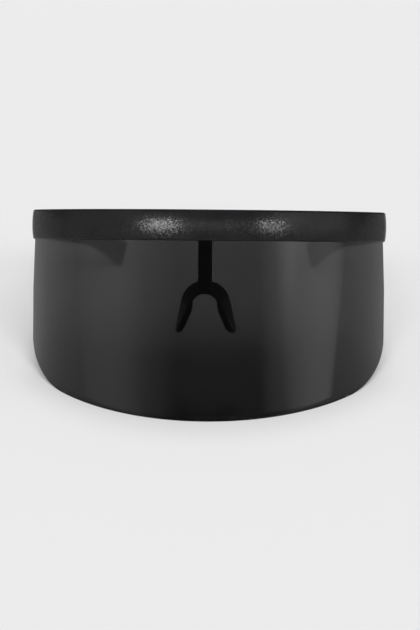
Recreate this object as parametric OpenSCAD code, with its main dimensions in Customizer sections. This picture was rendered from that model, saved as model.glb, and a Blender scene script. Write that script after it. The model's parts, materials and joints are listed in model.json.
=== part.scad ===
// Shield sunglasses standing on the lower edge of the lens and the ends of the temples.
// Every piece is drawn in the wearer's frame and then leaned back to stand: X runs to the wearer's
// left, Y backwards along the temples and Z up, from the middle of the lens's outer face at the
// underside of the brow bar. The finished part has its origin on the ground at its middle.

/* [Lens] */
// Radius of the outer face of the lens, seen from above
lens_curve_r = 82; // [78:0.5:95]
// Thickness of the lens
lens_t = 2; // [1.6:0.1:2.4]
// How far the sides of the lens lie inside the ends of the brow bar where the lens is widest
lens_side_inset = 0.65; // [0.4:0.05:3]
// How far they lie inside them where the lens leaves the brow bar
lens_top_inset = 1.45; // [0.8:0.05:4]
// How far below the brow bar the lens is widest
lens_widest_drop = 20; // [15:1:36]
// How far the lens hangs below the brow bar at its middle
lens_drop = 73; // [62:0.1:80]
// Radius of the lower corners of the lens, seen from the front
lens_corner_r = 24.5; // [14:0.5:26]
// How far the lens reaches up into the brow bar
lens_tongue = 7; // [5.6:0.1:7.4]
// How far the ends of that upper edge lie inside the ends of the brow bar
lens_tongue_inset = 2.55; // [2:0.05:6]

/* [Brow bar] */
// Width of the brow bar, which is the width of the whole object
bar_w = 150.1; // [149.5:0.1:154]
// Height of the brow bar
bar_h = 12.6; // [12:0.1:15]
// How far the brow bar stands out in front of the lens
bar_proud = 1.4; // [1.2:0.1:2.4]
// How far the brow bar reaches behind the outer face of the lens
bar_back = 4.5; // [4.2:0.1:6]
// How much the outer face of the brow bar and temples bulges
bar_crown = 0.5; // [0.2:0.1:1]
// Radius of the turn at each end of the brow bar, at its outer face
bar_end_r = 10; // [8:0.5:14]
// Length of the straight end of the brow bar behind that turn, up to the hinge
bar_end_l = 10; // [9:0.1:18]
// Rounding of the outer edges of the brow bar and temples
edge_out_r = 0.9; // [0.6:0.1:1.2]
// Rounding of their inner edges
edge_in_r = 0.6; // [0.3:0.1:1]
// Clearance between the lens and its slot on each side
slot_gap = 0.08; // [0.04:0.01:0.15]

/* [Temples] */
// Length of a temple along its outer face
temple_l = 118; // [105:1:130]
// Thickness of a temple behind its hinge end
temple_t = 3.4; // [2.8:0.1:4.2]
// Height of a temple at its end
temple_tip_h = 11.8; // [9:0.1:14]
// Straight, thick length at the hinge
temple_hinge_l = 12; // [11:0.5:16]
// Length over which the temple thins out behind it
temple_taper_l = 20; // [12:1:30]
// How far the temple turns inwards to its end, in degrees
temple_turn = 32; // [18:1:38]
// How far the end of the temple bends down, in degrees
temple_bend = 26; // [10:1:34]
// How far it slopes down before that bend, in degrees
temple_droop = 2.3; // [0:0.1:5]
// Where the downward bend starts, from the hinge end
temple_bend_at = 76; // [45:1:84]
// Length of the downward bend
temple_bend_l = 38; // [25:1:45]
// Gap between the brow bar and a temple when it is open
joint_gap = 0.3; // [0.2:0.05:0.6]

/* [Hinges] */
// Radius of the hinge barrels
barrel_r = 1.7; // [1.4:0.1:2]
// Height of the whole hinge
hinge_h = 8; // [7:0.5:10]
// Gap between neighbouring barrels
barrel_gap = 0.1; // [0.05:0.01:0.2]
// Clearance between the barrels and the inner face of the brow bar
barrel_clear = 0.25; // [0.15:0.05:0.6]
// Diameter of the hinge screw
hinge_screw_d = 1.4; // [1.2:0.1:1.6]
// Running clearance round the hinge screw
running_fit = 0.04; // [0.02:0.01:0.08]
// Length of a hinge leaf along the bar or temple
leaf_l = 8.6; // [7.6:0.1:9.4]
// Thickness of a hinge leaf
leaf_t = 1; // [0.8:0.1:1.2]
// How deep a leaf is let into the bar or temple
leaf_seat_d = 0.6; // [0.3:0.1:0.8]
// Clearance round a leaf in its seat
seat_gap = 0.05; // [0.02:0.01:0.15]

/* [Nose bridge] */
// Width of the stem
stem_w = 5.6; // [4:0.1:8]
// Thickness of the stem
stem_t = 3.4; // [3:0.1:4.5]
// Gap between the lens and the stem
stem_gap = 0.4; // [0.2:0.1:1]
// Width of the flange on the brow bar
flange_w = 10; // [9:0.5:14]
// Thickness of the flange
flange_t = 2.2; // [1.8:0.1:3]
// How deep the flange is let into the brow bar
flange_seat_d = 0.5; // [0.3:0.1:0.7]
// How far the inner crest of the saddle lies below the brow bar, at its front edge
saddle_front_drop = 21.6; // [16:0.1:26]
// How far it lies below the brow bar at its rear edge
saddle_back_drop = 17.2; // [14:0.1:24]
// Radius of the saddle's arch at its front edge
saddle_front_r = 5.4; // [4:0.1:8]
// Radius of the saddle's arch at its rear edge
saddle_back_r = 9; // [6:0.1:12]
// Outward slant of the legs at the front edge, in degrees
front_flare = 24; // [10:1:30]
// Outward slant of the legs at the rear edge, in degrees
back_flare = 12; // [4:1:20]
// How far the legs reach below the brow bar
leg_drop = 37.7; // [32:0.1:46]
// Depth of the saddle at its crest, front to back
crest_depth = 7.4; // [5:0.1:12]
// Depth of the legs at their lower ends, front to back
leg_depth = 15.5; // [10:0.5:20]
// How far the legs lean back from crest to lower end
leg_back = 2.6; // [0:0.1:6]
// Thickness of the saddle's shell
shell_t = 1.2; // [1:0.1:2]
// Thickness of the nose pads
pad_t = 1; // [0.6:0.1:1.6]

/* [Screws] */
// Outer diameter of the brass inserts
insert_d = 2.4; // [2.2:0.1:2.8]
// Diameter of the screws in the brass inserts
screw_d = 1.4; // [1.2:0.1:1.6]
// Head diameter of the bridge screws
head_d = 2.6; // [2.2:0.1:3]
// Head height of the bridge screws
head_h = 0.7; // [0.5:0.1:1]
// Length of the bridge inserts
bridge_insert_l = 3; // [2:0.1:3.2]
// Length of the lens inserts
lens_insert_l = 2.1; // [1.6:0.1:2.2]
// Diameter of the leaf screws
leaf_screw_d = 1; // [0.8:0.1:1.2]
// Length of the leaf screws below the leaf's face
leaf_screw_l = 2.6; // [2:0.1:3]
// Radial clearance of a screw or insert in its hole
fixed_fit = 0.02; // [0.01:0.01:0.05]

/* [Hidden] */

LEFT = 1;
RIGHT = -1;
round_fn = 64;
// Cuts run past the faces that they open by this much
overrun = 1;

// Points on each half of the bulge, on each rounded edge, along half the bar's long arc, along
// each of its end turns, and along a temple
crown_steps = 4;
edge_steps = 3;
arc_steps = 18;
turn_steps = 4;
ring_count = 34;

// Brow bar, seen from above: one long arc, a tight turn at each end and a straight end. Half the arc
// bends through this angle at most: a bar that is still wider than that has a flat middle
widest_arc = 75;
bar_t = bar_proud + bar_back;
bar_r = lens_curve_r + bar_proud;
bar_half_w = bar_w / 2;
turn_x = bar_half_w - bar_end_r;
flat_half = max(0, turn_x - (bar_r - bar_end_r) * sin(widest_arc));
bar_arc = asin((turn_x - flat_half) / (bar_r - bar_end_r));
turn_y = lens_curve_r - (bar_r - bar_end_r) * cos(bar_arc);
bar_depth = turn_y + bar_end_l;
bar_inner_x = bar_half_w - bar_t;
bar_mid_z = bar_h / 2;
slot_top = lens_tongue + slot_gap;

// Widths of the lens and the angles of its ends round its upright axis
lens_w = bar_w - 2 * lens_side_inset;
lens_top_w = bar_w - 2 * lens_top_inset;
lens_tongue_w = bar_w - 2 * lens_tongue_inset;
function end_angle(half_w) = asin((half_w - flat_half) / lens_curve_r);
lens_angle = end_angle(lens_w / 2);
tongue_angle = end_angle(lens_tongue_w / 2);
slot_angle = end_angle(lens_tongue_w / 2 + slot_gap);

// Lens screws stand at these shares of the tongue's half angle, half way up the tongue
lens_screw_shares = [-0.82, -0.36, 0.36, 0.82];
lens_screw_z = lens_tongue / 2;
lens_screw_reach_share = 0.7;
lens_hole_d = screw_d + 2 * slot_gap;
slot_d = 0.4;
slot_w = 0.35;

// Hinges
hinge_x = bar_inner_x - barrel_clear - barrel_r;
hinge_y = bar_depth;
barrel_count = 5;
barrel_h = (hinge_h - (barrel_count - 1) * barrel_gap) / barrel_count;
hinge_base_z = bar_mid_z - hinge_h / 2;
leaf_inner_x = bar_inner_x + leaf_seat_d - leaf_t;
leaf_screw_shares = [0.42, 0.82];
leaf_screw_head_d = 2 * leaf_screw_d;
hinge_head_d = 1.6 * hinge_screw_d;
hinge_head_h = 0.5;
leaf_screw_hole_l = 1.3 * leaf_screw_l;

// Cross-section of the bar and temples: u runs outwards from the crown, v up from mid height
function corner(u, v, r, from) =
    [for (i = [0:edge_steps]) let (a = from + 90 * i / edge_steps) [u + r * cos(a), v + r * sin(a)]];
function crown_u(v, hh) = -bar_crown * pow(v / hh, 2);
function section(t, h) =
    let (
        hh = h / 2,
        top = hh - edge_out_r,
        u_edge = crown_u(top, hh) - edge_out_r,
        u_in = -t + edge_in_r,
        v_in = hh - edge_in_r
    )
    concat(
        [for (i = [-crown_steps:crown_steps]) let (v = top * i / crown_steps) [crown_u(v, hh), v]],
        [for (i = [1:edge_steps]) corner(u_edge, top, edge_out_r, 0)[i]],
        corner(u_in, v_in, edge_in_r, 90),
        corner(u_in, -v_in, edge_in_r, 180),
        [for (i = [0:edge_steps - 1]) corner(u_edge, -top, edge_out_r, 270)[i]]
    );

// The bar's course from its right end to its left: each stop is a heading and a point on the crown
function stop(a, centre_x, centre_y, r) = [a, centre_x + r * sin(a), centre_y - r * cos(a)];
bar_stops = concat(
    [[-90, -bar_half_w, bar_depth]],
    [for (i = [0:turn_steps - 1]) stop(-90 + (90 - bar_arc) * i / turn_steps, -turn_x, turn_y, bar_end_r)],
    [for (i = [-arc_steps:-1]) stop(bar_arc * i / arc_steps, -flat_half, lens_curve_r, bar_r)],
    [for (x = flat_half > 0 ? [-flat_half, flat_half] : [0]) stop(0, x, lens_curve_r, bar_r)],
    [for (i = [1:arc_steps]) stop(bar_arc * i / arc_steps, flat_half, lens_curve_r, bar_r)],
    [for (i = [1:turn_steps]) stop(bar_arc + (90 - bar_arc) * i / turn_steps, turn_x, turn_y, bar_end_r)],
    [[90, bar_half_w, bar_depth]]
);
function bar_ring(stop) =
    let (a = stop[0], x = stop[1], y = stop[2])
    [for (q = section(bar_t, bar_h)) [x + q[0] * sin(a), y - q[0] * cos(a), bar_mid_z + q[1]]];

// Course of a temple's outer face: plan heading and downward pitch along its length
function share(s, from, length) = min(max((s - from) / length, 0), 1);
function heading(s) = temple_turn * share(s, temple_hinge_l, temple_l - temple_hinge_l);
function pitch(s) =
    temple_droop * share(s, temple_hinge_l, temple_taper_l)
    + (temple_bend - temple_droop) * share(s, temple_bend_at, temple_bend_l);
function course(s) =
    [-sin(heading(s)) * cos(pitch(s)), cos(heading(s)) * cos(pitch(s)), -sin(pitch(s))];
function smooth(x) = x * x * (3 - 2 * x);
function thickness(s) = bar_t + (temple_t - bar_t) * smooth(share(s, temple_hinge_l, temple_taper_l));
function height(s) = bar_h + (temple_tip_h - bar_h) * share(s, temple_hinge_l, temple_l - temple_hinge_l);

// The first ring is the hinge end, the next closes the straight length, the rest are evenly spaced
ring_step = (temple_l - temple_hinge_l) / (ring_count - 2);
ring_places = concat([0], [for (i = [0:ring_count - 2]) temple_hinge_l + i * ring_step]);
spine = [
    for (
        i = 0, p = [bar_half_w, bar_depth + joint_gap, bar_mid_z];
        i < ring_count;
        i = i + 1,
        p = i < ring_count ? p + (ring_places[i] - ring_places[i - 1])
            * course((ring_places[i] + ring_places[i - 1]) / 2) : p
    ) p
];
function ring(i) =
    let (
        s = ring_places[i],
        out = [cos(heading(s)), sin(heading(s)), 0],
        up = cross(out, course(s))
    )
    [for (q = section(thickness(s), height(s))) spine[i] + q[0] * out + q[1] * up];

// The ground touches the lower edge of the lens at its middle and the end of each temple
tip_ring = ring(ring_count - 1);
lean_slope = min([for (p = tip_ring) (lens_drop + p[2]) / p[1]]);
lean = atan(lean_slope);
lift = lens_drop * cos(lean);
stand_back = max([for (p = tip_ring) p[1] * cos(lean) + p[2] * sin(lean)]);
stand_front = -lens_drop * sin(lean);
stand_shift = (stand_back + stand_front) / 2;

// Lower corners of the lens: a circle that runs into the side and the ground cut of the lens, a hair
// beyond the places where it would only graze them
corner_dip = 0.05;
outline_half_w = lens_w / 2 + corner_dip;
corner_x = outline_half_w - lens_corner_r;
function lens_y(x) = lens_curve_r - sqrt(pow(lens_curve_r, 2) - pow(max(x - flat_half, 0), 2));
function cut_slope(x) = atan(lean_slope * max(x - flat_half, 0) / (lens_curve_r - lens_y(x)));
function corner_touch(x, n) =
    n == 0 ? x : corner_touch(corner_x + lens_corner_r * sin(cut_slope(x)), n - 1);
touch_x = corner_touch(corner_x, 12);
touch_z = -lens_drop + lean_slope * lens_y(touch_x);
corner_z = touch_z + lens_corner_r * cos(cut_slope(touch_x)) - corner_dip;

// Nose saddle: an arch of radius r whose legs slant outwards, at share q of its half length. It runs
// backwards slowly at the crest and faster down the legs, as this power of the share
sweep_power = 1.3;
function arch(r, flare, drop, y_crest, y_end, q) =
    let (
        arc_l = r * (90 - flare) * PI / 180,
        leg_l = (leg_drop - drop - r * (1 - sin(flare))) / cos(flare),
        s = abs(q) * (arc_l + leg_l),
        a = min(s / r * 180 / PI, 90 - flare),
        down = max(s - arc_l, 0),
        x = r * sin(a) + down * sin(flare),
        z = -drop - r * (1 - cos(a)) - down * cos(flare),
        side = q < 0 ? -1 : 1
    )
    [[side * x, y_crest + (y_end - y_crest) * pow(abs(q), sweep_power), z], [side * sin(a), 0, cos(a)]];
stem_front_y = lens_t + stem_gap;
saddle_front_y = stem_front_y + stem_t / 3;
function front_arch(q) =
    arch(saddle_front_r, front_flare, saddle_front_drop, saddle_front_y, saddle_front_y + leg_back, q);
function back_arch(q) =
    arch(
        saddle_back_r, back_flare, saddle_back_drop, saddle_front_y + crest_depth,
        saddle_front_y + leg_back + leg_depth, q
    );
function unit(v) = v / norm(v);

// One ring of the saddle or a pad, between offsets low and high from the saddle's inner face and
// between shares from and to of its depth, with rounded front and rear edges
function saddle_ring(q, low, high, from, to) =
    let (
        f = front_arch(q),
        b = back_arch(q),
        span = b[0] - f[0],
        shares = [for (k = [0:depth_steps]) from + (to - from) * k / depth_steps],
        points = [for (share = shares) f[0] + share * span],
        normals = [for (share = shares) unit(f[1] + share * (b[1] - f[1]))],
        nose = (high - low) / 2 * unit(span),
        mid = (high + low) / 2
    )
    concat(
        [for (k = [0:depth_steps]) points[k] + high * normals[k]],
        [points[depth_steps] + mid * normals[depth_steps] + nose],
        [for (k = [depth_steps:-1:0]) points[k] + low * normals[k]],
        [points[0] + mid * normals[0] - nose]
    );
saddle_steps = 20;
depth_steps = 4;
pad_from_step = 6;
pad_front_share = 0.04;
pad_back_share = 0.97;
bond_gap = 0.05;

// Bridge screws stand side by side in the solid top of the bar, above the lens slot
bridge_screw_share = 0.26;
bridge_screw_x = bridge_screw_share * flange_w;
bridge_screw_z = (bar_h + slot_top) / 2;
flange_top = bar_h - edge_in_r;
flange_y = bar_back - flange_seat_d;
bridge_screw_l = flange_t + bridge_insert_l;

// Leans the glasses back on the ground and puts the origin at the middle of what they cover
module stand() {
    translate([0, -stand_shift, lift])
        rotate([-lean, 0, 0])
            children();
}

// Draws the wearer's left side as it is and the right side mirrored
module on_side(side) {
    if (side == LEFT) children();
    else mirror([1, 0, 0]) children();
}

// Stands a shape on the wall of the bar at angle a, its Z axis pointing inwards from radius r
module on_arc(a, r, z) {
    translate([a < 0 ? -flat_half : flat_half, lens_curve_r, z])
        rotate([0, 0, a - 90])
            translate([r, 0, 0])
                rotate([0, -90, 0])
                    children();
}

// Closes a list of rings of equal length into one solid
module loft(rings) {
    n = len(rings[0]);
    last = len(rings) - 1;
    points = [for (r = rings) each r];
    walls = [
        for (i = [0:last - 1], j = [0:n - 1])
            let (k = (j + 1) % n, a = i * n, b = a + n)
            each [[a + j, b + k, b + j], [a + j, a + k, b + k]]
    ];
    caps = [[for (j = [n - 1:-1:0]) j], [for (j = [0:n - 1]) last * n + j]];
    polyhedron(points, concat(walls, caps), convexity = 6);
}

// A plain round screw: its shank points down from the underside of the head
module slotted_screw(d, l, d_head, h_head) {
    difference() {
        union() {
            translate([0, 0, -l]) cylinder(d = d, h = l, $fn = round_fn);
            cylinder(d = d_head, h = h_head, $fn = round_fn);
        }
        translate([-d_head, -slot_w / 2, h_head - slot_d])
            cube([2 * d_head, slot_w, slot_d + overrun]);
    }
}

// A wall that follows the curve of the lens, gap wider on both faces and as far as angle a each way
module curved_wall(a, gap, low, high) {
    module sector(from) {
        translate([flat_half, lens_curve_r, low])
            rotate([0, 0, from - 90])
                rotate_extrude(angle = a - from, $fn = 4 * round_fn)
                    translate([lens_curve_r - lens_t - gap, 0])
                        square([lens_t + 2 * gap, high - low]);
    }
    if (flat_half > 0) {
        on_side(LEFT) sector(0);
        on_side(RIGHT) sector(0);
        translate([-flat_half, -gap, low])
            cube([2 * flat_half, lens_t + 2 * gap, high - low]);
    } else sector(-a);
}

// Seat for a hinge leaf on the inner face: y runs from the joint towards the leaf's far end
module leaf_seat(towards) {
    far = leaf_l + seat_gap;
    translate([bar_inner_x - overrun, towards < 0 ? hinge_y - far : hinge_y, hinge_base_z - seat_gap])
        cube([leaf_seat_d + overrun, far, hinge_h + 2 * seat_gap]);
}

// Puts shapes on the axes of the two leaf screws, pointing outwards from the leaf's face
module at_leaf_screws(towards) {
    for (s = leaf_screw_shares)
        translate([leaf_inner_x, hinge_y + towards * s * leaf_l, bar_mid_z])
            rotate([0, 90, 0])
                children();
}

module leaf_screw_hole() {
    cylinder(d = leaf_screw_d + 2 * fixed_fit, h = leaf_screw_hole_l, $fn = round_fn);
}

module brow_bar() {
    color("#2b2b2d") stand() difference() {
        loft([for (stop = bar_stops) bar_ring(stop)]);
        // The slot is a little wider than the lens and as much longer at each end
        curved_wall(slot_angle, slot_gap, -overrun, slot_top);
        // Holes for the lens inserts
        for (s = lens_screw_shares)
            on_arc(s * tongue_angle, lens_curve_r - lens_t, lens_screw_z)
                cylinder(d = insert_d + 2 * fixed_fit, h = bar_back, $fn = round_fn);
        // Seat and holes for the nose bridge
        translate([-flange_w / 2 - seat_gap, flange_y, -overrun])
            cube([flange_w + 2 * seat_gap, flange_t + overrun, flange_top + seat_gap + overrun]);
        for (x = [-bridge_screw_x, bridge_screw_x])
            translate([x, flange_y + overrun, bridge_screw_z])
                rotate([90, 0, 0])
                    cylinder(d = insert_d + 2 * fixed_fit, h = bridge_insert_l + overrun, $fn = round_fn);
        for (side = [LEFT, RIGHT])
            on_side(side) {
                leaf_seat(-1);
                at_leaf_screws(-1) leaf_screw_hole();
            }
    }
}

// Everything outside the upright plane at angle a through the lens's axis, from height z upwards
module beyond(a, z) {
    translate([flat_half, lens_curve_r, z])
        rotate([0, 0, a - 90])
            cube([lens_w, lens_w, lens_drop + lens_w]);
}

module lens_outline() {
    polygon([
        [-lens_top_w / 2, 0], [-outline_half_w, -lens_widest_drop], [-outline_half_w, corner_z],
        [outline_half_w, corner_z], [outline_half_w, -lens_widest_drop], [lens_top_w / 2, 0]
    ]);
    translate([-bar_half_w, -seat_gap]) square([bar_w, lens_tongue + seat_gap]);
    for (x = [-corner_x, corner_x])
        translate([x, corner_z]) circle(r = lens_corner_r, $fn = 2 * round_fn);
    translate([-touch_x, -lens_drop - overrun])
        square([2 * touch_x, lens_drop + overrun + corner_z]);
}

module shield_lens() {
    color("#3c3c40") stand() difference() {
        intersection() {
            curved_wall(90, 0, -lens_drop - overrun, lens_tongue + overrun);
            translate([0, lens_curve_r, 0])
                rotate([90, 0, 0])
                    linear_extrude(height = lens_curve_r + overrun) lens_outline();
            // The lower edge is cut along the ground
            translate([0, 0, -lens_drop])
                rotate([lean, 0, 0])
                    translate([-lens_w, -lens_drop, 0])
                        cube([2 * lens_w, lens_w + lens_drop, lens_w]);
        }
        for (side = [LEFT, RIGHT])
            on_side(side) {
                beyond(lens_angle, -lens_drop - overrun);
                beyond(tongue_angle, -seat_gap);
            }
        for (s = lens_screw_shares)
            on_arc(s * tongue_angle, lens_curve_r + overrun, lens_screw_z)
                cylinder(d = lens_hole_d, h = lens_t + 2 * overrun, $fn = round_fn);
    }
}

module lens_inserts() {
    color("#b08d4a") stand()
        for (s = lens_screw_shares)
            on_arc(s * tongue_angle, lens_curve_r - lens_t - slot_gap, lens_screw_z)
                difference() {
                    cylinder(d = insert_d, h = lens_insert_l, $fn = round_fn);
                    translate([0, 0, -overrun])
                        cylinder(
                            d = screw_d + 2 * fixed_fit,
                            h = lens_insert_l + 2 * overrun, $fn = round_fn
                        );
                }
}

module lens_screws() {
    reach = lens_screw_reach_share * lens_t;
    color("#8d9094") stand()
        for (s = lens_screw_shares)
            on_arc(s * tongue_angle, lens_curve_r - lens_t + reach, lens_screw_z)
                difference() {
                    cylinder(d = screw_d, h = lens_insert_l + reach, $fn = round_fn);
                    translate([-screw_d, -slot_w / 2, lens_insert_l + reach - slot_d])
                        cube([2 * screw_d, slot_w, slot_d + overrun]);
                }
}

module nose_bridge() {
    stem_l = saddle_front_drop - shell_t / 2;
    color("#161616") stand() difference() {
        union() {
            loft([
                for (i = [-saddle_steps:saddle_steps])
                    saddle_ring(i / saddle_steps, 0, shell_t, 0, 1)
            ]);
            translate([-stem_w / 2, stem_front_y, -stem_l])
                cube([stem_w, stem_t, stem_l - seat_gap]);
            translate([-flange_w / 2, flange_y + seat_gap, 0])
                cube([flange_w, flange_t - seat_gap, flange_top]);
            // The flange and the stem meet in a web under the bar
            translate([-stem_w / 2, flange_y + seat_gap, -stem_t])
                cube([stem_w, flange_t - seat_gap, 2 * stem_t]);
        }
        for (x = [-bridge_screw_x, bridge_screw_x])
            translate([x, flange_y + flange_t + overrun, bridge_screw_z])
                rotate([90, 0, 0])
                    cylinder(d = screw_d + 2 * fixed_fit, h = flange_t + 2 * overrun, $fn = round_fn);
    }
}

module bridge_inserts() {
    color("#b08d4a") stand()
        for (x = [-bridge_screw_x, bridge_screw_x])
            translate([x, flange_y, bridge_screw_z])
                rotate([90, 0, 0])
                    difference() {
                        cylinder(d = insert_d, h = bridge_insert_l, $fn = round_fn);
                        translate([0, 0, -overrun])
                            cylinder(
                                d = screw_d + 2 * fixed_fit,
                                h = bridge_insert_l + 2 * overrun, $fn = round_fn
                            );
                    }
}

module bridge_screws() {
    color("#8d9094") stand()
        for (x = [-bridge_screw_x, bridge_screw_x])
            translate([x, flange_y + flange_t, bridge_screw_z])
                rotate([-90, 0, 0])
                    slotted_screw(screw_d, bridge_screw_l, head_d, head_h);
}

module nose_pad(side) {
    first = side == LEFT ? pad_from_step : -saddle_steps;
    last = side == LEFT ? saddle_steps : -pad_from_step;
    color("#101010") stand()
        loft([
            for (i = [first:last])
                saddle_ring(i / saddle_steps, -pad_t, -bond_gap, pad_front_share, pad_back_share)
        ]);
}

// A leaf with its barrels: the front leaf has the odd barrels, the temple leaf the even ones
module leaf(towards, first) {
    gap = towards < 0 ? 0 : joint_gap;
    difference() {
        union() {
            translate([
                leaf_inner_x,
                towards < 0 ? hinge_y - leaf_l : hinge_y + gap, hinge_base_z
            ])
                cube([leaf_t, leaf_l - gap, hinge_h]);
            for (i = [first:2:barrel_count - 1])
                translate([hinge_x, hinge_y, hinge_base_z + i * (barrel_h + barrel_gap)]) {
                    cylinder(r = barrel_r, h = barrel_h, $fn = round_fn);
                    translate([0, towards < 0 ? -barrel_r : 0, 0])
                        cube([leaf_inner_x + leaf_t / 4 - hinge_x, barrel_r, barrel_h]);
                }
        }
        translate([hinge_x, hinge_y, hinge_base_z - overrun])
            cylinder(d = hinge_screw_d + 2 * running_fit, h = hinge_h + 2 * overrun, $fn = round_fn);
        // Between the barrels the plate stays clear of the other leaf's barrels
        for (i = [1 - first:2:barrel_count - 1])
            translate([hinge_x, hinge_y, hinge_base_z + i * (barrel_h + barrel_gap) - barrel_gap])
                cylinder(r = barrel_r + barrel_clear, h = barrel_h + 2 * barrel_gap, $fn = round_fn);
        at_leaf_screws(towards) {
            translate([0, 0, -overrun])
                cylinder(
                    d = leaf_screw_d + 2 * fixed_fit, h = leaf_t + 2 * overrun, $fn = round_fn
                );
            translate([0, 0, -overrun])
                cylinder(
                    d = leaf_screw_head_d + 2 * fixed_fit, h = leaf_t / 2 + overrun, $fn = round_fn
                );
        }
    }
}

module leaf_screws(towards, side) {
    color("#8d9094") stand() on_side(side)
        at_leaf_screws(towards)
            difference() {
                union() {
                    cylinder(d = leaf_screw_d, h = leaf_screw_l, $fn = round_fn);
                    cylinder(d = leaf_screw_head_d, h = leaf_t / 2, $fn = round_fn);
                }
                translate([-leaf_screw_head_d, -slot_w / 2, -overrun])
                    cube([2 * leaf_screw_head_d, slot_w, slot_d + overrun]);
            }
}

module front_leaf(side) {
    color("#a7a9ad") stand() on_side(side) leaf(-1, 0);
}

module temple_leaf(side) {
    color("#a7a9ad") stand() on_side(side) leaf(1, 1);
}

module hinge_screw(side) {
    color("#8d9094") stand() on_side(side)
        translate([hinge_x, hinge_y, hinge_base_z + hinge_h])
            slotted_screw(hinge_screw_d, hinge_h, hinge_head_d, hinge_head_h);
}

module temple(side) {
    color("#232325") stand() on_side(side)
        difference() {
            loft([for (i = [0:ring_count - 1]) ring(i)]);
            leaf_seat(1);
            at_leaf_screws(1) leaf_screw_hole();
        }
}

brow_bar();
shield_lens();
lens_inserts();
lens_screws();
nose_bridge();
bridge_inserts();
bridge_screws();
nose_pad(LEFT);  // nose_pad_left
nose_pad(RIGHT);  // nose_pad_right
front_leaf(LEFT);  // front_leaf_left
front_leaf(RIGHT);  // front_leaf_right
leaf_screws(-1, LEFT);  // front_leaf_screws_left
leaf_screws(-1, RIGHT);  // front_leaf_screws_right
hinge_screw(LEFT);  // hinge_screw_left
hinge_screw(RIGHT);  // hinge_screw_right
temple_leaf(LEFT);  // temple_leaf_left
temple_leaf(RIGHT);  // temple_leaf_right
leaf_screws(1, LEFT);  // temple_leaf_screws_left
leaf_screws(1, RIGHT);  // temple_leaf_screws_right
temple(LEFT);  // temple_left
temple(RIGHT);  // temple_right
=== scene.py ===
"""Shield sunglasses standing on the lower edge of the lens and the ends of the temples."""

import json
import math

import bmesh
import bpy
from mathutils import Matrix, Vector


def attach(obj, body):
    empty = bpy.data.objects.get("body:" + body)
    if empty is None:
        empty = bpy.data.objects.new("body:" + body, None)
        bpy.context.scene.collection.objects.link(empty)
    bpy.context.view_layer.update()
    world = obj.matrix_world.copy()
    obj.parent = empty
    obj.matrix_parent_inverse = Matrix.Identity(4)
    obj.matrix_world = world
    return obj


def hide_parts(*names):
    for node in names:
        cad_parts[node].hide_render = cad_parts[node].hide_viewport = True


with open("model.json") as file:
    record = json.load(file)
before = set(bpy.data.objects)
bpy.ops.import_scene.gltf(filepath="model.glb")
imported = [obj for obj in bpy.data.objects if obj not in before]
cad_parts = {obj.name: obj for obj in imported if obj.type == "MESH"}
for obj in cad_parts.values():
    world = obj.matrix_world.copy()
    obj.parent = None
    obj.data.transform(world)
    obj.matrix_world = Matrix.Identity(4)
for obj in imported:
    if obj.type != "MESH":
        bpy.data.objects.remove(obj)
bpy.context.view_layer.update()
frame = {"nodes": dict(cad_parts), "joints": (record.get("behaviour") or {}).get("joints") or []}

# Brow bar. One thick straight bar of black sintered nylon that runs right across the face, with a
# tight turn at each end up to the hinges. It is printed in one piece and tumbled, so its bulged
# front keeps a fine sandy grain that sparkles where the light strikes it.
BAR_R, BAR_HALF_W, BAR_T, BAR_H, BAR_CROWN = 83.4, 75.05, 5.9, 12.6, 0.5
BAR_END_R, BAR_END_L, BAR_EDGE_ROUND = 10.0, 10.0, 0.3
EDGE_OUT_R, EDGE_IN_R = 0.9, 0.6
CROWN_STEPS, EDGE_STEPS, TURN_STEPS, ARC_STEPS = 9, 6, 16, 80
LENS_R, LENS_TONGUE, LENS_TONGUE_HALF_W = 82.0, 7.0, 72.5
INSERT_SHARES = (-0.82, -0.36, 0.36, 0.82)
INSERT_HOLE_D, INSERT_HOLE_END_R, DRILL_L, DRILL_SIDES = 2.44, 80.05, 4.5, 48

# The bar seen from above: where its end turns are centred, how far its long arc goes to each side
# and how far back its ends lie
turn_x = BAR_HALF_W - BAR_END_R
bar_arc = math.degrees(math.asin(turn_x / (BAR_R - BAR_END_R)))
turn_y = LENS_R - (BAR_R - BAR_END_R) * math.cos(math.radians(bar_arc))
bar_depth = turn_y + BAR_END_L

# The left hinge's axis stands in the end of the bar, at its mid height, and leans with the glasses.
# The gap keeps the cut edge of the lens, on which they stand, out of the floor's own plane.
GROUND_GAP = 0.0001
hinge = frame["joints"][0]
hinge_y, hinge_z = (1000 * c for c in hinge["pos_m"][1:])
lean_sin, lean_cos = hinge["axis"][1:]


def stand(x, y, z):
    """A point of the worn glasses, in millimetres, as it lies when they lean back on the ground."""
    back, up = y - bar_depth, z - BAR_H / 2
    return Vector((
        x,
        hinge_y + back * lean_cos + up * lean_sin,
        hinge_z - back * lean_sin + up * lean_cos + GROUND_GAP,
    )) / 1000


def on_bend(radius, angle, z):
    """The same for a point at this radius and angle round the upright axis of the lens."""
    return stand(radius * math.sin(angle), LENS_R - radius * math.cos(angle), z)


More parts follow.
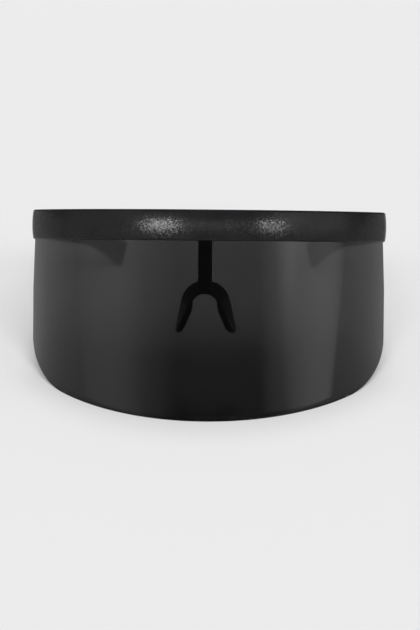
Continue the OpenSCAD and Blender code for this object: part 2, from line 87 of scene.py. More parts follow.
def nylon_section(thick, high):
    """The bar's D-shaped section: u outwards from the crown and v up from mid height."""
    half = high / 2
    top = half - EDGE_OUT_R

    def crown(v):
        return -BAR_CROWN * (v / half) ** 2

    def corner(u, v, r, first, steps):
        """Points on the rounded edge round this centre, whose quarter turn starts at this angle."""
        angles = [math.radians(first + 90 * i / EDGE_STEPS) for i in steps]
        return [(u + r * math.cos(a), v + r * math.sin(a)) for a in angles]

    heights = [top * i / CROWN_STEPS for i in range(-CROWN_STEPS, CROWN_STEPS + 1)]
    edge_u = crown(top) - EDGE_OUT_R
    inner_u, inner_v = -thick + EDGE_IN_R, half - EDGE_IN_R
    steps = range(EDGE_STEPS + 1)
    return (
        [(crown(v), v) for v in heights]
        + corner(edge_u, top, EDGE_OUT_R, 0, steps[1:])
        + corner(inner_u, inner_v, EDGE_IN_R, 90, steps)
        + corner(inner_u, -inner_v, EDGE_IN_R, 180, steps)
        + corner(edge_u, -top, EDGE_OUT_R, 270, steps[:-1])
    )


def skin_rings(name, rings, flip=False):
    """A closed solid through rings of points, with a flat face at each end."""
    count = len(rings[0])
    points = [p for ring in rings for p in ring]
    faces = []
    for i in range(len(rings) - 1):
        for j in range(count):
            k = (j + 1) % count
            a, b = i * count, (i + 1) * count
            faces.append((a + j, a + k, b + k, b + j))
    faces.append(tuple(range(count - 1, -1, -1)))
    faces.append(tuple((len(rings) - 1) * count + j for j in range(count)))
    if flip:
        faces = [tuple(reversed(face)) for face in faces]
    mesh = bpy.data.meshes.new(name)
    mesh.from_pydata(points, [], faces)
    mesh.update()
    piece = bpy.data.objects.new(name, mesh)
    bpy.context.scene.collection.objects.link(piece)
    return piece


def settle(piece):
    """Works the modifiers of a piece into its mesh."""
    solved = piece.evaluated_get(bpy.context.evaluated_depsgraph_get())
    mesh = bpy.data.meshes.new_from_object(solved)
    piece.modifiers.clear()
    piece.data = mesh
    mesh.name = piece.name


def shade(piece, sharp_from=35):
    """Smooth shading, with the edges that turn by more than this many degrees left crisp."""
    piece.data.polygons.foreach_set("use_smooth", [True] * len(piece.data.polygons))
    piece.data.set_sharp_from_angle(angle=math.radians(sharp_from))


def round_edges(piece, width, sharp_from=50):
    """Rounds the edges that turn by more than this many degrees, over a width in millimetres."""
    bevel = piece.modifiers.new("rounded_edges", "BEVEL")
    bevel.width = width / 1000
    bevel.segments = 3
    bevel.limit_method = "ANGLE"
    bevel.angle_limit = math.radians(sharp_from)
    settle(piece)


def node_group(name, inputs, outputs):
    """An empty shader node group with these sockets, and its input and output nodes."""
    group = bpy.data.node_groups.new(name, "ShaderNodeTree")
    for label, kind, value in inputs:
        socket = group.interface.new_socket(name=label, in_out="INPUT", socket_type=kind)
        socket.default_value = value
    for label, kind in outputs:
        group.interface.new_socket(name=label, in_out="OUTPUT", socket_type=kind)
    return group, group.nodes.new("NodeGroupInput"), group.nodes.new("NodeGroupOutput")


# Sandy grain of sintered nylon: every powder grain is a small facet with its own tilt and its own
# gloss, so the light catches some and misses the next. Tone adds a cloudy unevenness of the colour,
# and this share of each grain's own shade.
GRAIN_SHADE = 0.4
grain, grain_in, grain_out = node_group(
    "sintered_grain",
    [
        ("Grains per m", "NodeSocketFloat", 1800.0),
        ("Clouds per m", "NodeSocketFloat", 90.0),
        ("Tilt", "NodeSocketFloat", 0.2),
    ],
    [("Normal", "NodeSocketVector"), ("Tone", "NodeSocketFloat"), ("Gloss", "NodeSocketFloat")],
)
place = grain.nodes.new("ShaderNodeTexCoord")
powder = grain.nodes.new("ShaderNodeTexVoronoi")
clouds = grain.nodes.new("ShaderNodeTexNoise")
clouds.inputs["Detail"].default_value = 4.0
for texture, socket in ((powder, "Grains per m"), (clouds, "Clouds per m")):
    grain.links.new(place.outputs["Object"], texture.inputs["Vector"])
    grain.links.new(grain_in.outputs[socket], texture.inputs["Scale"])
surface = grain.nodes.new("ShaderNodeNewGeometry")
centred, tilted, facet = (grain.nodes.new("ShaderNodeVectorMath") for _ in range(3))
centred.operation, tilted.operation, facet.operation = "SUBTRACT", "MULTIPLY_ADD", "NORMALIZE"
centred.inputs[1].default_value = (0.5, 0.5, 0.5)
grain.links.new(powder.outputs["Color"], centred.inputs[0])
grain.links.new(centred.outputs["Vector"], tilted.inputs[0])
grain.links.new(grain_in.outputs["Tilt"], tilted.inputs[1])
grain.links.new(surface.outputs["Normal"], tilted.inputs[2])
grain.links.new(tilted.outputs["Vector"], facet.inputs[0])
grain.links.new(facet.outputs["Vector"], grain_out.inputs["Normal"])
shades = grain.nodes.new("ShaderNodeSeparateColor")
grain.links.new(powder.outputs["Color"], shades.inputs["Color"])
tone = grain.nodes.new("ShaderNodeMath")
tone.operation = "MULTIPLY_ADD"
tone.inputs[1].default_value = GRAIN_SHADE
grain.links.new(shades.outputs["Green"], tone.inputs[0])
grain.links.new(clouds.outputs["Fac"], tone.inputs[2])
grain.links.new(tone.outputs[0], grain_out.inputs["Tone"])
grain.links.new(shades.outputs["Blue"], grain_out.inputs["Gloss"])


def plastic(name, grains_per_m, clouds_per_m, colours, roughness, tilt, shine):
    """A printed or moulded material: its two shades, two roughnesses and how far its grains tilt."""
    material = bpy.data.materials.new(name)
    material.use_nodes = True
    nodes, links = material.node_tree.nodes, material.node_tree.links
    shader = nodes["Principled BSDF"]
    texture = nodes.new("ShaderNodeGroup")
    texture.node_tree = grain
    texture.inputs["Grains per m"].default_value = grains_per_m
    texture.inputs["Clouds per m"].default_value = clouds_per_m
    texture.inputs["Tilt"].default_value = tilt
    ramp = nodes.new("ShaderNodeValToRGB")
    for stop, position, colour in zip(ramp.color_ramp.elements, (0.45, 1.0), colours):
        stop.position = position
        stop.color = (*colour, 1)
    links.new(texture.outputs["Tone"], ramp.inputs["Fac"])
    links.new(ramp.outputs["Color"], shader.inputs["Base Color"])
    shader.inputs["Specular IOR Level"].default_value = shine
    gloss = nodes.new("ShaderNodeMapRange")
    gloss.inputs["To Min"].default_value, gloss.inputs["To Max"].default_value = roughness
    links.new(texture.outputs["Gloss"], gloss.inputs["Value"])
    links.new(gloss.outputs["Result"], shader.inputs["Roughness"])
    links.new(texture.outputs["Normal"], shader.inputs["Normal"])
    return material


sintered_nylon = plastic(
    "sintered_black_nylon",
    grains_per_m=2300,
    clouds_per_m=90,
    colours=((0.004, 0.004, 0.0043), (0.008, 0.008, 0.0085)),
    roughness=(0.18, 0.25),
    tilt=0.085,
    shine=0.095,
)
bar_stops = [(-90.0, -BAR_HALF_W, bar_depth)]
for i in range(TURN_STEPS):
    heading = -90 + (90 - bar_arc) * i / TURN_STEPS
    a = math.radians(heading)
    bar_stops.append((heading, BAR_END_R * math.sin(a) - turn_x, turn_y - BAR_END_R * math.cos(a)))
for i in range(-ARC_STEPS, ARC_STEPS + 1):
    heading = bar_arc * i / ARC_STEPS
    a = math.radians(heading)
    bar_stops.append((heading, BAR_R * math.sin(a), LENS_R - BAR_R * math.cos(a)))
bar_stops += [(-heading, -x, y) for heading, x, y in reversed(bar_stops[:TURN_STEPS + 1])]
section = nylon_section(BAR_T, BAR_H)
bar_rings = []
for heading, x, y in bar_stops:
    out_x, out_y = math.sin(math.radians(heading)), -math.cos(math.radians(heading))
    bar_rings.append([stand(x + u * out_x, y + u * out_y, BAR_H / 2 + v) for u, v in section])
brow_bar = skin_rings("brow_bar_printed", bar_rings)
round_edges(brow_bar, BAR_EDGE_ROUND)

tongue_angle = math.asin(LENS_TONGUE_HALF_W / LENS_R)
for share in INSERT_SHARES:
    a = share * tongue_angle
    outward = (on_bend(1, a, 0) - on_bend(0, a, 0)).normalized()
    drill = bpy.data.meshes.new("drill")
    shape = bmesh.new()
    bmesh.ops.create_cone(
        shape, cap_ends=True, segments=DRILL_SIDES, depth=DRILL_L / 1000,
        radius1=INSERT_HOLE_D / 2000, radius2=INSERT_HOLE_D / 2000,
    )
    shape.transform(
        Matrix.Translation(on_bend(INSERT_HOLE_END_R - DRILL_L / 2, a, LENS_TONGUE / 2))
        @ outward.to_track_quat("Z", "Y").to_matrix().to_4x4()
    )
    shape.to_mesh(drill)
    shape.free()
    cutter = bpy.data.objects.new("drill", drill)
    bpy.context.scene.collection.objects.link(cutter)
    cut = brow_bar.modifiers.new("insert_hole", "BOOLEAN")
    cut.object = cutter
    cut.solver = "EXACT"
    settle(brow_bar)
    bpy.data.objects.remove(cutter)
shade(brow_bar)
brow_bar.data.materials.clear()
brow_bar.data.materials.append(sintered_nylon)
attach(brow_bar, "front")
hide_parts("brow_bar")

# Shield lens. One sheet of dark grey tinted polycarbonate, 2 mm thick, bent round an upright axis.
# It is cut out of the sheet with rounded lower corners, its edge is polished, and its top edge
# stands in a slot of the bar. The light comes through it at about four parts in a hundred.
LENS_T, LENS_HALF_W, LENS_TOP_HALF_W = 2.0, 74.4, 73.6
LENS_WIDEST_DROP, LENS_DROP, LENS_CORNER_R, CORNER_DIP = 20.0, 73.0, 24.5, 0.05
POLISHED_EDGE, POLISHED_FROM = 0.22, 40
# The mesh: degrees between its columns, the least gaps to the columns at touch_x and at the ends of
# the upper edge, the columns round a corner and how they crowd there, and the rows in a column
COLUMN_TURN, COLUMN_GAP, EDGE_COLUMN_GAP = 0.8857, 0.3, 0.22
CORNER_STEPS, CORNER_EASE, ROWS = 30, 0.9, 26
TOUCH_ROUNDS = 12

# The lower edge seen from the front: it is cut level with the ground up to touch_x, where the circle
# of the corner takes over. The slope of the cut there decides where the two touch, and a few rounds
# settle it.
ground_slope = lean_sin / lean_cos
corner_x = LENS_HALF_W - LENS_CORNER_R


def lens_y(x):
    """How far back the outer face of the lens lies at this distance from its middle."""
    return LENS_R - math.sqrt(LENS_R ** 2 - x * x)


touch_x = corner_x
for _ in range(TOUCH_ROUNDS):
    cut_angle = math.atan(ground_slope * touch_x / (LENS_R - lens_y(touch_x)))
    touch_x = corner_x + LENS_CORNER_R * math.sin(cut_angle)
corner_z = ground_slope * lens_y(touch_x) + LENS_CORNER_R * math.cos(cut_angle) - LENS_DROP - CORNER_DIP
first_turn = math.asin((touch_x - corner_x) / LENS_CORNER_R)


def lens_bottom(x):
    """Height of the lower edge of the outer face: the ground in the middle, then the corner."""
    ground = ground_slope * lens_y(x) - LENS_DROP
    if abs(x) <= touch_x:
        return ground
    return max(ground, corner_z - math.sqrt(max(LENS_CORNER_R ** 2 - (abs(x) - corner_x) ** 2, 0)))


def lens_rows(x):
    """Heights of the mesh points up one column, as pairs for the outer and the inner face."""
    low = lens_bottom(x)
    turned = 0.0
    if abs(x) > touch_x:
        lean = math.asin(min((abs(x) - corner_x) / LENS_CORNER_R, 1))
        turned = (lean - first_turn) / (math.pi / 2 - first_turn)
    level = 1 - turned * turned * (3 - 2 * turned)
    inner_low = low + ground_slope * LENS_T * math.cos(math.asin(x / LENS_R)) * level
    top = 0.0
    if abs(x) > LENS_TOP_HALF_W:
        top = -LENS_WIDEST_DROP * (abs(x) - LENS_TOP_HALF_W) / (LENS_HALF_W - LENS_TOP_HALF_W)
    shares = [k / ROWS for k in range(ROWS + 1)]
    heights = [(low + (top - low) * share, inner_low + (top - inner_low) * share) for share in shares]
    if abs(x) <= LENS_TONGUE_HALF_W:
        heights += [(LENS_TONGUE / 2, LENS_TONGUE / 2), (LENS_TONGUE, LENS_TONGUE)]
    return heights


# Columns of the mesh stand at even angles up to touch_x, and then closer together round the corner
half_columns = []
for i in range(round(90 / COLUMN_TURN)):
    x = LENS_R * math.sin(math.radians(COLUMN_TURN * i))
    if x < touch_x - COLUMN_GAP:
        half_columns.append(x)
half_columns.append(touch_x)
for i in range(1, CORNER_STEPS + 1):
    lean = first_turn + (math.pi / 2 - first_turn) * (i / CORNER_STEPS) ** CORNER_EASE
    x = corner_x + LENS_CORNER_R * math.sin(lean)
    if min(abs(x - LENS_TONGUE_HALF_W), abs(x - LENS_TOP_HALF_W)) > EDGE_COLUMN_GAP:
        half_columns.append(x)
half_columns = sorted(half_columns + [LENS_TONGUE_HALF_W, LENS_TOP_HALF_W])
columns = [-x for x in reversed(half_columns[1:])] + half_columns

lens_mesh = bmesh.new()
grid = []
for x in columns:
    a = math.asin(x / LENS_R)
    heights = lens_rows(x)
    outer = [lens_mesh.verts.new(on_bend(LENS_R, a, z)) for z, _ in heights]
    inner = [lens_mesh.verts.new(on_bend(LENS_R - LENS_T, a, z)) for _, z in heights]
    grid.append((outer, inner))
for (outer_a, inner_a), (outer_b, inner_b) in zip(grid, grid[1:]):
    last = min(len(outer_a), len(outer_b)) - 1
    for k in range(last):
        lens_mesh.faces.new((outer_a[k], outer_b[k], outer_b[k + 1], outer_a[k + 1]))
        lens_mesh.faces.new((inner_a[k], inner_a[k + 1], inner_b[k + 1], inner_b[k]))
    lens_mesh.faces.new((outer_a[0], inner_a[0], inner_b[0], outer_b[0]))
    lens_mesh.faces.new((outer_a[last], outer_b[last], inner_b[last], inner_a[last]))


def close_side(outer, inner, first, faces_left):
    """Faces across the thickness of the lens up one column, from this row on."""
    for k in range(first, len(outer) - 1):
        side = (outer[k], outer[k + 1], inner[k + 1], inner[k])
        lens_mesh.faces.new(side if faces_left else tuple(reversed(side)))


close_side(*grid[0], 0, True)
close_side(*grid[-1], 0, False)
for near, far in zip(grid, grid[1:]):
    if len(near[0]) < len(far[0]):
        close_side(*far, len(near[0]) - 1, True)
    elif len(near[0]) > len(far[0]):
        close_side(*near, len(far[0]) - 1, False)
bmesh.ops.recalc_face_normals(lens_mesh, faces=lens_mesh.faces)
lens_data = bpy.data.meshes.new("shield_lens_polished")
lens_mesh.to_mesh(lens_data)
lens_mesh.free()
lens = bpy.data.objects.new("shield_lens_polished", lens_data)
bpy.context.scene.collection.objects.link(lens)
round_edges(lens, POLISHED_EDGE, POLISHED_FROM)
shade(lens, 180)

# The tint is a little uneven, and the same haze stands for the faint marks that wiping leaves
tinted = bpy.data.materials.new("grey_tinted_polycarbonate")
tinted.use_nodes = True
nodes, links = tinted.node_tree.nodes, tinted.node_tree.links
glass = nodes["Principled BSDF"]
glass.inputs["Transmission Weight"].default_value = 1.0
glass.inputs["IOR"].default_value = 1.32
place = nodes.new("ShaderNodeTexCoord")
haze = nodes.new("ShaderNodeTexNoise")
haze.inputs["Scale"].default_value = 28.0
haze.inputs["Detail"].default_value = 5.0
links.new(place.outputs["Object"], haze.inputs["Vector"])
tint = nodes.new("ShaderNodeValToRGB")
tint.color_ramp.elements[0].color = (0.037, 0.0365, 0.037, 1)
tint.color_ramp.elements[1].color = (0.041, 0.0405, 0.041, 1)
links.new(haze.outputs["Fac"], tint.inputs["Fac"])
links.new(tint.outputs["Color"], glass.inputs["Base Color"])
wipe = nodes.new("ShaderNodeMapRange")
wipe.inputs["To Min"].default_value = 0.05
wipe.inputs["To Max"].default_value = 0.11
links.new(haze.outputs["Fac"], wipe.inputs["Value"])
links.new(wipe.outputs["Result"], glass.inputs["Roughness"])
lens.data.materials.clear()
lens.data.materials.append(tinted)
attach(lens, "front")
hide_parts("shield_lens")

# Lens and bridge inserts. Small turned brass bushes that are heated and pressed into the bar, with
# the fine rings that the lathe leaves on them.
turned, turned_in, turned_out = node_group(
    "turning_marks",
    [("Marks per m", "NodeSocketFloat", 9000.0), ("Stain per m", "NodeSocketFloat", 700.0)],
    [("Height", "NodeSocketFloat"), ("Stain", "NodeSocketFloat")],
)
place = turned.nodes.new("ShaderNodeTexCoord")
marks = turned.nodes.new("ShaderNodeTexNoise")
marks.inputs["Detail"].default_value = 2.0
stain = turned.nodes.new("ShaderNodeTexNoise")
stain.inputs["Detail"].default_value = 5.0
for texture, socket in ((marks, "Marks per m"), (stain, "Stain per m")):
    turned.links.new(place.outputs["Object"], texture.inputs["Vector"])
    turned.links.new(turned_in.outputs[socket], texture.inputs["Scale"])
turned.links.new(marks.outputs["Fac"], turned_out.inputs["Height"])
turned.links.new(stain.outputs["Fac"], turned_out.inputs["Stain"])


def metal(name, marks_per_m, colours, roughness, mark_depth):
    """A machined metal: its dull and clean colours and roughnesses, and its marks' depth in mm."""
    material = bpy.data.materials.new(name)
    material.use_nodes = True
    nodes, links = material.node_tree.nodes, material.node_tree.links
    shader = nodes["Principled BSDF"]
    shader.inputs["Metallic"].default_value = 1.0
    texture = nodes.new("ShaderNodeGroup")
    texture.node_tree = turned
    texture.inputs["Marks per m"].default_value = marks_per_m
    ramp = nodes.new("ShaderNodeValToRGB")
    for stop, position, colour in zip(ramp.color_ramp.elements, (0.35, 0.65), colours):
        stop.position = position
        stop.color = (*colour, 1)
    links.new(texture.outputs["Stain"], ramp.inputs["Fac"])
    links.new(ramp.outputs["Color"], shader.inputs["Base Color"])
    gloss = nodes.new("ShaderNodeMapRange")
    gloss.inputs["To Min"].default_value, gloss.inputs["To Max"].default_value = roughness
    links.new(texture.outputs["Stain"], gloss.inputs["Value"])
    links.new(gloss.outputs["Result"], shader.inputs["Roughness"])
    bump = nodes.new("ShaderNodeBump")
    bump.inputs["Distance"].default_value = mark_depth / 1000
    links.new(texture.outputs["Height"], bump.inputs["Height"])
    links.new(bump.outputs["Normal"], shader.inputs["Normal"])
    return material


brass = metal(
    "turned_brass",
    marks_per_m=9000,
    colours=((0.42, 0.29, 0.13), (0.70, 0.53, 0.26)),
    roughness=(0.42, 0.22),
    mark_depth=0.006,
)
for name in ("lens_inserts", "bridge_inserts"):
    frame["nodes"][name].material_slots[0].material = brass

# Screws. Slotted steel screws of four kinds: set screws that hold the lens, cheese heads in the
# bridge's flange, flat heads in the hinge leaves, and the two long hinge screws.
bright_steel = metal(
    "bright_screw_steel",
    marks_per_m=11000,
    colours=((0.33, 0.33, 0.34), (0.56, 0.57, 0.58)),
    roughness=(0.38, 0.20),
    mark_depth=0.004,
)
for name in frame["nodes"]:
    if "screw" in name:
        frame["nodes"][name].material_slots[0].material = bright_steel

# Nose bridge. A satin black nylon moulding: a flange that is screwed to the back of the bar, a stem
# behind the lens and a saddle with two splayed legs, all running into each other with small fillets.
STEM_W, STEM_T, STEM_GAP, STEM_TOP_GAP = 5.6, 3.4, 0.4, 0.05
FLANGE_W, FLANGE_T, FLANGE_Y = 10.0, 2.15, 4.05
LEG_DROP, LEG_BACK, LEG_DEPTH, CREST_DEPTH, SWEEP_POWER = 37.7, 2.6, 15.5, 7.4, 1.3
SHELL_T, SHELL_STEPS = 1.2, 60
# Shares of a leg's length over which its width and its thickness run out at the tip, what is left
# of them there, and where the oval of an end stops short of its point
WIDTH_RUN_OUT, THICKNESS_RUN_OUT, TIP_LEFT, OVAL_STOP = 0.14, 0.07, 0.4, 0.985
DEPTH_STEPS, NOSE_STEPS = 14, 4
FILLET_GRAIN, FILLET_PASSES = 0.22, 7

stem_y = LENS_T + STEM_GAP
saddle_y = stem_y + STEM_T / 3
leg_y = saddle_y + LEG_BACK
SADDLE_FRONT = dict(drop=21.6, r=5.4, flare=24.0, y_crest=saddle_y, y_end=leg_y)
SADDLE_BACK = dict(
    drop=17.2, r=9.0, flare=12.0, y_crest=saddle_y + CREST_DEPTH, y_end=leg_y + LEG_DEPTH
)


def arch(q, drop, r, flare, y_crest, y_end):
    """A point on one edge of the saddle, at share q of its half length, and its outward normal."""
    flare_a = math.radians(flare)
    arc_l = r * (math.pi / 2 - flare_a)
    leg_l = (LEG_DROP - drop - r * (1 - math.sin(flare_a))) / math.cos(flare_a)
    s = abs(q) * (arc_l + leg_l)
    a = min(s / r, math.pi / 2 - flare_a)
    down = max(s - arc_l, 0)
    side = -1 if q < 0 else 1
    point = Vector((
        side * (r * math.sin(a) + down * math.sin(flare_a)),
        y_crest + (y_end - y_crest) * abs(q) ** SWEEP_POWER,
        -drop - r * (1 - math.cos(a)) - down * math.cos(flare_a),
    ))
    return point, Vector((side * math.sin(a), 0, math.cos(a)))


def saddle_ring(q, low, high, near, far):
    """One ring round the saddle's shell or a pad, with rounded front and rear edges."""
    (front, front_n), (back, back_n) = arch(q, **SADDLE_FRONT), arch(q, **SADDLE_BACK)
    span = back - front
    along = span.normalized()
    half, mid = (high - low) / 2, (high + low) / 2

    def at(share):
        normal = (front_n + share * (back_n - front_n)).normalized()
        return front + share * span, normal

    def nose(share, way):
        point, normal = at(share)
        turns = [math.pi * i / NOSE_STEPS for i in range(1, NOSE_STEPS)]
        across = [math.cos(t) * normal + math.sin(t) * along for t in turns]
        return [point + mid * normal + half * way * step for step in across]

    places = [at(near + (far - near) * k / DEPTH_STEPS) for k in range(DEPTH_STEPS + 1)]
    upper = [point + high * normal for point, normal in places]
    lower = [point + low * normal for point, normal in places]
    return [stand(*p) for p in upper + nose(far, 1) + lower[::-1] + nose(near, -1)]


def rounded(share, first, last):
    """How much of its width a piece with oval ends has left at this share of its length."""
    into = max(1 - share / first if first else 0, 1 - (1 - share) / last, 0)
    return math.sqrt(1 - min(into, OVAL_STOP) ** 2)


leg_rings = []
for i in range(-SHELL_STEPS, SHELL_STEPS + 1):
    share = abs(i) / SHELL_STEPS
    half = 0.5 * (TIP_LEFT + (1 - TIP_LEFT) * rounded(share, 0, WIDTH_RUN_OUT))
    thick = SHELL_T * (TIP_LEFT + (1 - TIP_LEFT) * rounded(share, 0, THICKNESS_RUN_OUT))
    leg_rings.append(saddle_ring(i / SHELL_STEPS, 0, thick, 0.5 - half, 0.5 + half))
bridge = skin_rings("nose_bridge_moulded", leg_rings)

# The stem, the flange and a block that joins the two are added to the saddle, then fused with it
stem_l = SADDLE_FRONT["drop"] - SHELL_T / 2
flange_back = FLANGE_Y + FLANGE_T
solid = bmesh.new()
solid.from_mesh(bridge.data)
for low, high in (
    ((-STEM_W / 2, stem_y, -stem_l), (STEM_W / 2, stem_y + STEM_T, -STEM_TOP_GAP)),
    ((-FLANGE_W / 2, FLANGE_Y, 0), (FLANGE_W / 2, flange_back, BAR_H - EDGE_IN_R)),
    ((-STEM_W / 2, FLANGE_Y, -STEM_T), (STEM_W / 2, flange_back, STEM_T)),
):
    for v in bmesh.ops.create_cube(solid, size=1)["verts"]:
        shares = [c + 0.5 for c in v.co]
        v.co = stand(*(a + share * (b - a) for a, b, share in zip(low, high, shares)))
solid.to_mesh(bridge.data)
solid.free()
remesh = bridge.modifiers.new("one_moulding", "REMESH")
remesh.mode = "VOXEL"
remesh.voxel_size = FILLET_GRAIN / 1000
remesh.use_smooth_shade = True
soften = bridge.modifiers.new("fillets", "CORRECTIVE_SMOOTH")
soften.factor = 0.5
soften.iterations = FILLET_PASSES
soften.use_only_smooth = True
settle(bridge)
shade(bridge, 60)
satin_nylon = plastic(
    "satin_black_nylon",
    grains_per_m=5200,
    clouds_per_m=140,
    colours=((0.0040, 0.0040, 0.0042), (0.0080, 0.0080, 0.0083)),
    roughness=(0.34, 0.46),
    tilt=0.08,
    shine=0.3,
)
bridge.data.materials.clear()
bridge.data.materials.append(satin_nylon)
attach(bridge, "front")
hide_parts("nose_bridge")

# Nose pads. Soft matt black rubber pillows with oval ends, a little over a millimetre thick in the
# middle, bonded to the inside of each leg.
PAD_T, PAD_EDGE_T, BOND_GAP, PAD_STEPS = 1.35, 0.3, 0.05, 60
# Shares of a leg's length where a pad starts and ends, and of its depth front and back, and shares
# of the pad's own length that its upper and lower oval ends and the swell at each end take
PAD_FROM, PAD_TO, PAD_NEAR, PAD_FAR = 0.3, 0.985, 0.05, 0.95
PAD_TOP_OVAL, PAD_LOW_OVAL, PAD_SWELL = 0.3, 0.22, 0.3
soft_rubber = plastic(
    "soft_pad_rubber",
    grains_per_m=3800,
    clouds_per_m=200,
    colours=((0.0060, 0.0060, 0.0062), (0.0110, 0.0110, 0.0114)),
    roughness=(0.60, 0.75),
    tilt=0.15,
    shine=0.3,
)
pad_middle = (PAD_FAR + PAD_NEAR) / 2
for side, way in (("left", 1), ("right", -1)):
    pad_rings = []
    for i in range(PAD_STEPS + 1):
        share = i / PAD_STEPS if way > 0 else 1 - i / PAD_STEPS
        half = (PAD_FAR - PAD_NEAR) / 2 * rounded(share, PAD_TOP_OVAL, PAD_LOW_OVAL)
        thick = PAD_EDGE_T + (PAD_T - PAD_EDGE_T) * rounded(share, PAD_SWELL, PAD_SWELL)
        q = way * (PAD_FROM + (PAD_TO - PAD_FROM) * share)
        pad_rings.append(saddle_ring(q, -thick, -BOND_GAP, pad_middle - half, pad_middle + half))
    pad = skin_rings(f"nose_pad_rubber_{side}", pad_rings)
    shade(pad)
    pad.data.materials.append(soft_rubber)
    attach(pad, "front")
    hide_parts(f"nose_pad_{side}")

# Hinge leaves. Satin steel leaves with five interlocking barrels, let into the inner faces of the
# bar's ends and of the temples, each held by two flat-headed screws.
satin_steel = metal(
    "satin_hinge_steel",
    marks_per_m=7000,
    colours=((0.36, 0.36, 0.37), (0.52, 0.52, 0.54)),
    roughness=(0.46, 0.30),
    mark_depth=0.006,
)
for name in ("front_leaf_left", "front_leaf_right", "temple_leaf_left", "temple_leaf_right"):
    frame["nodes"][name].material_slots[0].material = satin_steel

# Temples. Flat arms of the same sintered nylon as the bar and of almost its height, which thin out
# behind the hinge, curve in round the head and bend down over the ear.
TEMPLE_L, TEMPLE_T, TEMPLE_TIP_H, HINGE_L, TAPER_L = 118.0, 3.4, 11.8, 12.0, 20.0
TURN, BEND, DROOP, BEND_AT, BEND_L, JOINT_GAP = 32.0, 26.0, 2.3, 76.0, 38.0, 0.3
TEMPLE_STEPS, TEMPLE_EDGE_ROUND = 128, 0.35
curved_l = TEMPLE_L - HINGE_L


def run(s, start, length):
    """How far along this stretch of the temple the place s lies, from 0 to 1."""
    return min(max((s - start) / length, 0), 1)


def temple_course(s):
    """The temple's heading inwards and its direction at this distance from the hinge end."""
    heading = math.radians(TURN * run(s, HINGE_L, curved_l))
    pitch = math.radians(DROOP * run(s, HINGE_L, TAPER_L) + (BEND - DROOP) * run(s, BEND_AT, BEND_L))
    direction = Vector((
        -math.sin(heading) * math.cos(pitch),
        math.cos(heading) * math.cos(pitch),
        -math.sin(pitch),
    ))
    return heading, direction


temple_stops = [0.0, HINGE_L / 2]
temple_stops += [HINGE_L + curved_l * i / TEMPLE_STEPS for i in range(TEMPLE_STEPS + 1)]
for side, way in (("left", 1), ("right", -1)):
    spot = Vector((BAR_HALF_W, bar_depth + JOINT_GAP, BAR_H / 2))
    rings = []
    for before, s in zip([0.0] + temple_stops, temple_stops):
        spot = spot + (s - before) * temple_course((s + before) / 2)[1]
        heading, direction = temple_course(s)
        out = Vector((math.cos(heading), math.sin(heading), 0))
        up = out.cross(direction)
        taper = run(s, HINGE_L, TAPER_L)
        thick = BAR_T + (TEMPLE_T - BAR_T) * taper * taper * (3 - 2 * taper)
        high = BAR_H + (TEMPLE_TIP_H - BAR_H) * run(s, HINGE_L, curved_l)
        points = [spot + u * out + v * up for u, v in nylon_section(thick, high)]
        rings.append([stand(way * p.x, p.y, p.z) for p in points])
    temple = skin_rings(f"temple_printed_{side}", rings, flip=way < 0)
    round_edges(temple, TEMPLE_EDGE_ROUND)
    shade(temple)
    temple.data.materials.append(sintered_nylon)
    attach(temple, f"{side}_arm")
    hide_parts(f"temple_{side}")

# Studio floor. A wide sheet of matt pale paper that runs out of the picture on every side.
FLOOR_HALF_M = 8
floor_corners = ((-1, -1), (1, -1), (1, 1), (-1, 1))
floor_mesh = bpy.data.meshes.new("studio_floor")
floor_mesh.from_pydata(
    [(FLOOR_HALF_M * x, FLOOR_HALF_M * y, 0) for x, y in floor_corners], [], [(0, 1, 2, 3)]
)
floor = bpy.data.objects.new("studio_floor", floor_mesh)
bpy.context.scene.collection.objects.link(floor)
paper = bpy.data.materials.new("pale_paper")
paper.use_nodes = True
nodes, links = paper.node_tree.nodes, paper.node_tree.links
sheet = nodes["Principled BSDF"]
sheet.inputs["Roughness"].default_value = 1.0
sheet.inputs["Specular IOR Level"].default_value = 0.0
place = nodes.new("ShaderNodeTexCoord")
fibres = nodes.new("ShaderNodeTexNoise")
fibres.inputs["Scale"].default_value = 1200.0
shades = nodes.new("ShaderNodeValToRGB")
shades.color_ramp.elements[0].color = (0.795, 0.793, 0.797, 1)
shades.color_ramp.elements[1].color = (0.805, 0.803, 0.807, 1)
links.new(place.outputs["Object"], fibres.inputs["Vector"])
links.new(fibres.outputs["Fac"], shades.inputs["Fac"])
links.new(shades.outputs["Color"], sheet.inputs["Base Color"])
floor_mesh.materials.append(paper)


# Studio lamps. A very broad soft lamp high in front, which the lens doesn't mirror, a weaker one
# high behind, and narrow lamps side by side that light only the bar, for the two stretches on its
# front that sparkle.
def lamp(name, towards, strength, spread):
    """A distant lamp in this direction, as wide as the spread in degrees."""
    light = bpy.data.lights.new(name, "SUN")
    light.energy = strength
    light.angle = math.radians(spread)
    holder = bpy.data.objects.new(name, light)
    holder.rotation_euler = Vector(towards).to_track_quat("Z", "Y").to_euler()
    bpy.context.scene.collection.objects.link(holder)
    return holder


lamp("front_lamp", (0.08, -0.68, 0.73), strength=2.4, spread=45).visible_glossy = False
lamp("rear_lamp", (0, 0.45, 0.89), strength=0.55, spread=15)
STRIP_SPREAD = 5
bar_alone = bpy.data.collections.new("bar_alone")
bar_alone.objects.link(brow_bar)
for name, bearings, strength in (
    ("left_strip", (-34, -28, -22), 0.76),
    ("middle_glow", (-8, 3, 14), 0.12),
    ("right_strip", (33, 37, 41), 0.36),
):
    for i, bearing in enumerate(bearings):
        a = math.radians(bearing)
        towards = (math.sin(a), -math.cos(a) * lean_cos, math.cos(a) * lean_sin)
        strip = lamp(f"{name}_{i + 1}", towards, strength, STRIP_SPREAD)
        strip.light_linking.receiver_collection = bar_alone

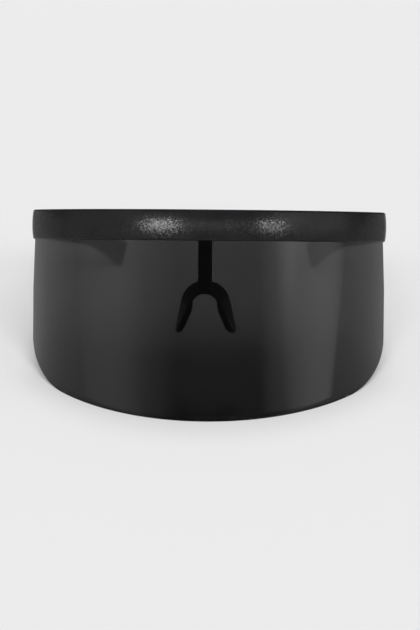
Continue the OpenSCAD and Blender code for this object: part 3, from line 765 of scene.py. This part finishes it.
# Studio room. It is dim, darkest straight ahead, and has paler patches towards its sides, which
# the lens mirrors. A patch has a bearing to the wearer's left and a height, the angles from there
# where it starts and where it is full, all in degrees, and the light that it adds.
ROOM_LIGHT = 0.22
ROOM_PATCHES = (
    (0.0, 19.9, 60, 30, -0.10),
    (73.0, 13.0, 27, 0, 2.25),
    (47.8, 18.0, 16, 0, 0.70),
    (52.0, 22.0, 13, 0, 2.50),
    (-56.7, 17.0, 38, 0, 0.55),
    (-71.3, 7.8, 35, 12, 0.60),
)
world = bpy.data.worlds.new("studio_room")
bpy.context.scene.world = world
world.use_nodes = True
nodes, links = world.node_tree.nodes, world.node_tree.links
place = nodes.new("ShaderNodeTexCoord")
backdrop = nodes["Background"]
backdrop.inputs["Color"].default_value = (1, 0.985, 1, 1)
room = nodes.new("ShaderNodeValue")
room.outputs[0].default_value = ROOM_LIGHT
light_so_far = room.outputs[0]
for bearing, height, starts_at, full_at, level in ROOM_PATCHES:
    across, above = math.radians(bearing), math.radians(height)
    facing = nodes.new("ShaderNodeVectorMath")
    facing.operation = "DOT_PRODUCT"
    facing.inputs[1].default_value = (
        math.sin(across) * math.cos(above),
        -math.cos(across) * math.cos(above),
        math.sin(above),
    )
    links.new(place.outputs["Generated"], facing.inputs[0])
    fade = nodes.new("ShaderNodeMapRange")
    fade.interpolation_type = "SMOOTHSTEP"
    fade.inputs["From Min"].default_value = math.cos(math.radians(starts_at))
    fade.inputs["From Max"].default_value = math.cos(math.radians(full_at))
    fade.inputs["To Max"].default_value = level
    links.new(facing.outputs["Value"], fade.inputs["Value"])
    total = nodes.new("ShaderNodeMath")
    total.operation = "ADD"
    links.new(light_so_far, total.inputs[0])
    links.new(fade.outputs["Result"], total.inputs[1])
    light_so_far = total.outputs[0]
links.new(light_so_far, backdrop.inputs["Strength"])
bpy.context.scene.view_settings.view_transform = "Standard"

# Camera. About 0.9 m in front, level with the underside of the bar as the glasses lean, a little to
# the wearer's left, and turned down so that the glasses stand above the middle of the picture.
CAMERA_MM, CAMERA_TURN, CAMERA_ROLL = 900.0, 1.9, 0.53
FOCAL_PX, SIGHT_RIGHT_PX, SIGHT_DOWN_PX, PICTURE_H_PX = 2234.7, 5.65, 74.2, 630
SENSOR_MM, NEAREST_M, FARTHEST_M = 36, 0.02, 40
turn, roll = math.radians(CAMERA_TURN), math.radians(CAMERA_ROLL)
eye = Vector((CAMERA_MM * math.sin(turn), -CAMERA_MM * math.cos(turn), 0))


def level_axes(ahead):
    """The directions to the right and up in a level picture that looks this way."""
    right = ahead.cross(Vector((0, 0, 1))).normalized()
    return right, right.cross(ahead)


def leaned(direction):
    """A direction of the worn glasses as it points when they lean back on the ground."""
    return (stand(*direction) - stand(0, 0, 0)).normalized()


ahead = -eye.normalized()
right, up = level_axes(ahead)
ahead = (ahead + right * (SIGHT_RIGHT_PX / FOCAL_PX) - up * (SIGHT_DOWN_PX / FOCAL_PX)).normalized()
right, up = level_axes(ahead)
right, up = (
    right * math.cos(roll) + up * math.sin(roll),
    up * math.cos(roll) - right * math.sin(roll),
)
camera_data = bpy.data.cameras.new("camera")
camera_data.sensor_width = SENSOR_MM
camera_data.lens = FOCAL_PX * SENSOR_MM / PICTURE_H_PX
camera_data.clip_start = NEAREST_M
camera_data.clip_end = FARTHEST_M
camera = bpy.data.objects.new("camera", camera_data)
bpy.context.scene.collection.objects.link(camera)
axes = Matrix((leaned(right), leaned(up), -leaned(ahead))).transposed()
camera.matrix_world = Matrix.Translation(stand(*eye)) @ axes.to_4x4()
bpy.context.scene.camera = camera
